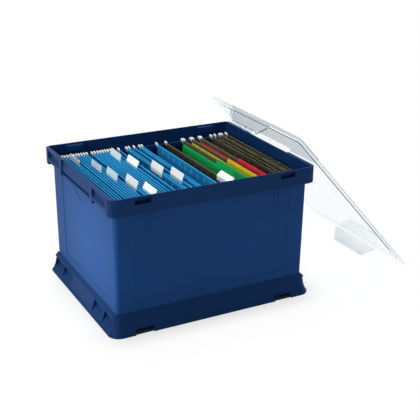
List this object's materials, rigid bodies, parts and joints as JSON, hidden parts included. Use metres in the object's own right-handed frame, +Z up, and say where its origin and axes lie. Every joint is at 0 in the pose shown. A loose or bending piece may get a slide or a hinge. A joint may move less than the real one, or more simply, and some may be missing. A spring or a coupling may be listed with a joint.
{
  "type": "portable file box",
  "caption": "Moulded file box with a ribbed rim, flared stacking base, hanging files on rails and a clear latch-on lid leaning on its side.",
  "frame": {"origin": "middle of the tub's footprint, on the floor", "axes": "+X along the long front side towards the leaning lid, -Y is the front, +Z up"},
  "size_m": [0.6969, 0.392, 0.3604],
  "materials": {
    "tub_plastic": "satin moulded navy blue",
    "clear_plastic": "clear, glossy",
    "latch_plastic": "frosted clear",
    "blue_card": "smooth dyed card",
    "olive_card": "smooth dyed card",
    "green_card": "smooth dyed card",
    "yellow_card": "smooth dyed card",
    "red_card": "smooth dyed card",
    "rod_plastic": "matte white",
    "tab_plastic": "white label in a clear tab"
  },
  "bodies": {
    "tub": {"tub": "tub_plastic"},
    "lid": {"lid": "clear_plastic"},
    "upper_latch_flap": {"upper_latch_flap": "clear_plastic"},
    "lower_latch_flap": {"lower_latch_flap": "latch_plastic"},
    "blue_file_01": {"blue_folder_01": "blue_card", "blue_folder_rods_01": "rod_plastic"},
    "blue_file_02": {"blue_folder_02": "blue_card", "blue_folder_rods_02": "rod_plastic", "label_tab_01": "tab_plastic"},
    "blue_file_03": {"blue_folder_03": "blue_card", "blue_folder_rods_03": "rod_plastic"},
    "blue_file_04": {"blue_folder_04": "blue_card", "blue_folder_rods_04": "rod_plastic", "label_tab_02": "tab_plastic"},
    "blue_file_05": {"blue_folder_05": "blue_card", "blue_folder_rods_05": "rod_plastic", "label_tab_03": "tab_plastic"},
    "blue_file_06": {"blue_folder_06": "blue_card", "blue_folder_rods_06": "rod_plastic", "label_tab_04": "tab_plastic"},
    "blue_file_07": {"blue_folder_07": "blue_card", "blue_folder_rods_07": "rod_plastic", "label_tab_05": "tab_plastic"},
    "blue_file_08": {"blue_folder_08": "blue_card", "blue_folder_rods_08": "rod_plastic"},
    "blue_file_09": {"blue_folder_09": "blue_card", "blue_folder_rods_09": "rod_plastic", "label_tab_06": "tab_plastic"},
    "blue_file_10": {"blue_folder_10": "blue_card", "blue_folder_rods_10": "rod_plastic", "label_tab_07": "tab_plastic"},
    "blue_file_11": {"blue_folder_11": "blue_card", "blue_folder_rods_11": "rod_plastic", "label_tab_08": "tab_plastic"},
    "blue_file_12": {"blue_folder_12": "blue_card", "blue_folder_rods_12": "rod_plastic", "label_tab_09": "tab_plastic"},
    "blue_file_13": {"blue_folder_13": "blue_card", "blue_folder_rods_13": "rod_plastic"},
    "olive_file_01": {"olive_folder_01": "olive_card", "olive_folder_rods_01": "rod_plastic", "label_tab_10": "tab_plastic"},
    "olive_file_02": {"olive_folder_02": "olive_card", "olive_folder_rods_02": "rod_plastic"},
    "olive_file_03": {"olive_folder_03": "olive_card", "olive_folder_rods_03": "rod_plastic"},
    "olive_file_04": {"olive_folder_04": "olive_card", "olive_folder_rods_04": "rod_plastic"},
    "olive_file_05": {"olive_folder_05": "olive_card", "olive_folder_rods_05": "rod_plastic"},
    "olive_file_06": {"olive_folder_06": "olive_card", "olive_folder_rods_06": "rod_plastic"},
    "green_inner_folder": {"green_inner_folder": "green_card"},
    "yellow_inner_folder": {"yellow_inner_folder": "yellow_card"},
    "red_inner_folder": {"red_inner_folder": "red_card"}
  },
  "joints": [
    {"name": "lid_lift", "type": "slide", "parent": "tub", "child": "lid", "axis": [0, 0, 1], "range_m": [0, 0.31]},
    {"name": "upper_flap_hinge", "type": "hinge", "parent": "lid", "child": "upper_latch_flap", "pos_m": [0.16232, -0.024, 0.35411], "axis": [0, 1, 0], "range_deg": [0, 100], "stiffness_Nm_per_rad": 0.05},
    {"name": "lower_flap_hinge", "type": "hinge", "parent": "lid", "child": "lower_latch_flap", "pos_m": [0.4621, -0.024, 0.02118], "axis": [0, -1, 0], "range_deg": [0, 100], "stiffness_Nm_per_rad": 0.05},
    {"name": "blue_file_01_lift", "type": "slide", "parent": "tub", "child": "blue_file_01", "axis": [0, 0, 1], "range_m": [0, 0.265]},
    {"name": "blue_file_02_lift", "type": "slide", "parent": "tub", "child": "blue_file_02", "axis": [0, 0, 1], "range_m": [0, 0.265]},
    {"name": "blue_file_03_lift", "type": "slide", "parent": "tub", "child": "blue_file_03", "axis": [0, 0, 1], "range_m": [0, 0.265]},
    {"name": "blue_file_04_lift", "type": "slide", "parent": "tub", "child": "blue_file_04", "axis": [0, 0, 1], "range_m": [0, 0.265]},
    {"name": "blue_file_05_lift", "type": "slide", "parent": "tub", "child": "blue_file_05", "axis": [0, 0, 1], "range_m": [0, 0.265]},
    {"name": "blue_file_06_lift", "type": "slide", "parent": "tub", "child": "blue_file_06", "axis": [0, 0, 1], "range_m": [0, 0.265]},
    {"name": "blue_file_07_lift", "type": "slide", "parent": "tub", "child": "blue_file_07", "axis": [0, 0, 1], "range_m": [0, 0.265]},
    {"name": "blue_file_08_lift", "type": "slide", "parent": "tub", "child": "blue_file_08", "axis": [0, 0, 1], "range_m": [0, 0.265]},
    {"name": "blue_file_09_lift", "type": "slide", "parent": "tub", "child": "blue_file_09", "axis": [0, 0, 1], "range_m": [0, 0.265]},
    {"name": "blue_file_10_lift", "type": "slide", "parent": "tub", "child": "blue_file_10", "axis": [0, 0, 1], "range_m": [0, 0.265]},
    {"name": "blue_file_11_lift", "type": "slide", "parent": "tub", "child": "blue_file_11", "axis": [0, 0, 1], "range_m": [0, 0.265]},
    {"name": "blue_file_12_lift", "type": "slide", "parent": "tub", "child": "blue_file_12", "axis": [0, 0, 1], "range_m": [0, 0.265]},
    {"name": "blue_file_13_lift", "type": "slide", "parent": "tub", "child": "blue_file_13", "axis": [0, 0, 1], "range_m": [0, 0.265]},
    {"name": "olive_file_01_lift", "type": "slide", "parent": "tub", "child": "olive_file_01", "axis": [0, 0, 1], "range_m": [0, 0.265]},
    {"name": "olive_file_02_lift", "type": "slide", "parent": "tub", "child": "olive_file_02", "axis": [0, 0, 1], "range_m": [0, 0.265]},
    {"name": "olive_file_03_lift", "type": "slide", "parent": "tub", "child": "olive_file_03", "axis": [0, 0, 1], "range_m": [0, 0.055]},
    {"name": "olive_file_04_lift", "type": "slide", "parent": "tub", "child": "olive_file_04", "axis": [0, 0, 1], "range_m": [0, 0.055]},
    {"name": "olive_file_05_lift", "type": "slide", "parent": "tub", "child": "olive_file_05", "axis": [0, 0, 1], "range_m": [0, 0.05]},
    {"name": "olive_file_06_lift", "type": "slide", "parent": "tub", "child": "olive_file_06", "axis": [0, 0, 1], "range_m": [0, 0.034]},
    {"name": "green_inner_folder_lift", "type": "slide", "parent": "olive_file_01", "child": "green_inner_folder", "axis": [0, 0, 1], "range_m": [0, 0.25]},
    {"name": "yellow_inner_folder_lift", "type": "slide", "parent": "olive_file_02", "child": "yellow_inner_folder", "axis": [0, 0, 1], "range_m": [0, 0.25]},
    {"name": "red_inner_folder_lift", "type": "slide", "parent": "olive_file_03", "child": "red_inner_folder", "axis": [0, 0, 1], "range_m": [0, 0.25]}
  ]
}
